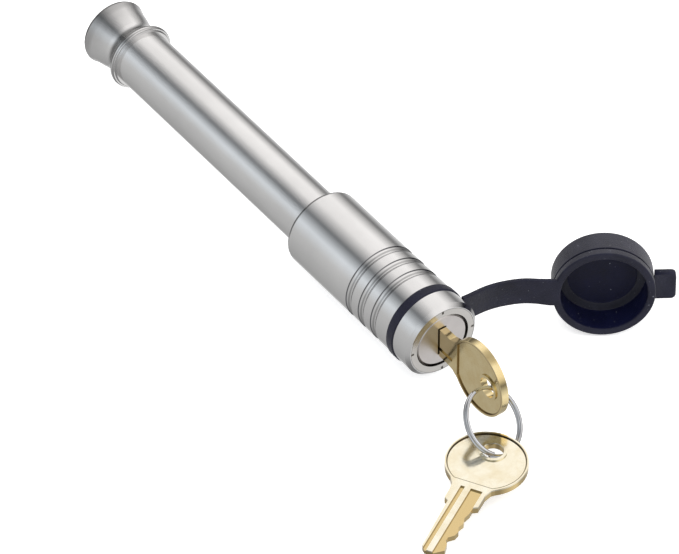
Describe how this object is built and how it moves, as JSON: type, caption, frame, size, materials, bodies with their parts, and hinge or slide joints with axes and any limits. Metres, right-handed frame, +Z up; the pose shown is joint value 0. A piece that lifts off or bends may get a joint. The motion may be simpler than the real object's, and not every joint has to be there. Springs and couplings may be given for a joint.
{
  "type": "hitch pin lock",
  "caption": "Barbell hitch pin lock: steel pin with a spool knob, keyed locking head, tethered rubber dust cap and keys on a split ring.",
  "frame": {"origin": "on the pin's axis, at the head's pin-side face", "axes": "+Y along the pin towards its knob, -Y out of the key face, +Z up, +X towards the cap's side"},
  "size_m": [0.1059, 0.2043, 0.027],
  "materials": {
    "stainless": "satin turned stainless steel",
    "lock_zinc": "satin plated",
    "rubber": "matte moulded rubber",
    "seal": "smooth",
    "brass": "tumbled brass",
    "nickel": "bright nickel plate",
    "hard_steel": "hardened and oiled"
  },
  "bodies": {
    "head": {"housing": "stainless", "bore_seal": "seal", "face_ring": "stainless", "cylinder_shell": "lock_zinc", "shell_dowel": "hard_steel", "jaw_guide": "lock_zinc", "strap_band": "rubber"},
    "pin_body": {"pin": "stainless"},
    "plug_body": {"plug": "lock_zinc", "wafers": "brass", "cam": "hard_steel", "cam_screw": "hard_steel"},
    "jaw_right_body": {"jaw_right": "hard_steel"},
    "jaw_left_body": {"jaw_left": "hard_steel"},
    "key_body": {"key": "brass"},
    "ring_body": {"split_ring": "nickel"},
    "spare_body": {"spare_key": "brass"},
    "strap_near_body": {"strap_near": "rubber"},
    "strap_mid_body": {"strap_mid": "rubber"},
    "strap_tip_body": {"strap_tip": "rubber"},
    "cap_body": {"cap": "rubber", "pull_tab": "rubber"}
  },
  "joints": [
    {"name": "pin_slide", "type": "slide", "parent": "head", "child": "pin_body", "axis": [0, -1, 0], "range_m": [-0.13, 0]},
    {"name": "plug_turn", "type": "hinge", "parent": "head", "child": "plug_body", "pos_m": [0, -0.04, 0], "axis": [0, 1, 0], "range_deg": [0, 90]},
    {"name": "jaw_right_in", "type": "slide", "parent": "head", "child": "jaw_right_body", "axis": [-1, 0, 0], "range_m": [0, 0.0013]},
    {"name": "jaw_left_in", "type": "slide", "parent": "head", "child": "jaw_left_body", "axis": [1, 0, 0], "range_m": [0, 0.0013]},
    {"name": "key_withdraw", "type": "slide", "parent": "plug_body", "child": "key_body", "axis": [0, -1, 0], "range_m": [0, 0.045]},
    {"name": "ring_swing", "type": "hinge", "parent": "key_body", "child": "ring_body", "pos_m": [0, -0.07315, -0.00035], "axis": [1, 0, 0], "range_deg": [-10, 10]},
    {"name": "spare_swing", "type": "hinge", "parent": "ring_body", "child": "spare_body", "pos_m": [-0.00903, -0.08676, -0.00791], "axis": [0, 0, 1], "range_deg": [-10, 10]},
    {"name": "strap_curl", "type": "hinge", "parent": "head", "child": "strap_near_body", "pos_m": [0.0182, -0.0468, 0], "axis": [0, 0, -1], "range_deg": [0, 40], "stiffness_Nm_per_rad": 0.002},
    {"name": "strap_bend", "type": "hinge", "parent": "strap_near_body", "child": "strap_mid_body", "pos_m": [0.0229, -0.0479, 0], "axis": [0, 0, -1], "range_deg": [0, 81.66], "stiffness_Nm_per_rad": 0.002},
    {"name": "strap_fold", "type": "hinge", "parent": "strap_mid_body", "child": "strap_tip_body", "pos_m": [0.0279, -0.0502, 0], "axis": [0, 0, -1], "range_deg": [0, 86.65], "stiffness_Nm_per_rad": 0.002},
    {"name": "cap_turn", "type": "hinge", "parent": "strap_tip_body", "child": "cap_body", "pos_m": [0.0326, -0.0541, 0], "axis": [0.074, -0.0579, 0.9956], "range_deg": [0, 62.26], "stiffness_Nm_per_rad": 0.002}
  ],
  "couplings": [
    {"joint": "jaw_right_in", "follows": "plug_turn", "m_per_rad": 0.0008276},
    {"joint": "jaw_left_in", "follows": "plug_turn", "m_per_rad": 0.0008276}
  ]
}
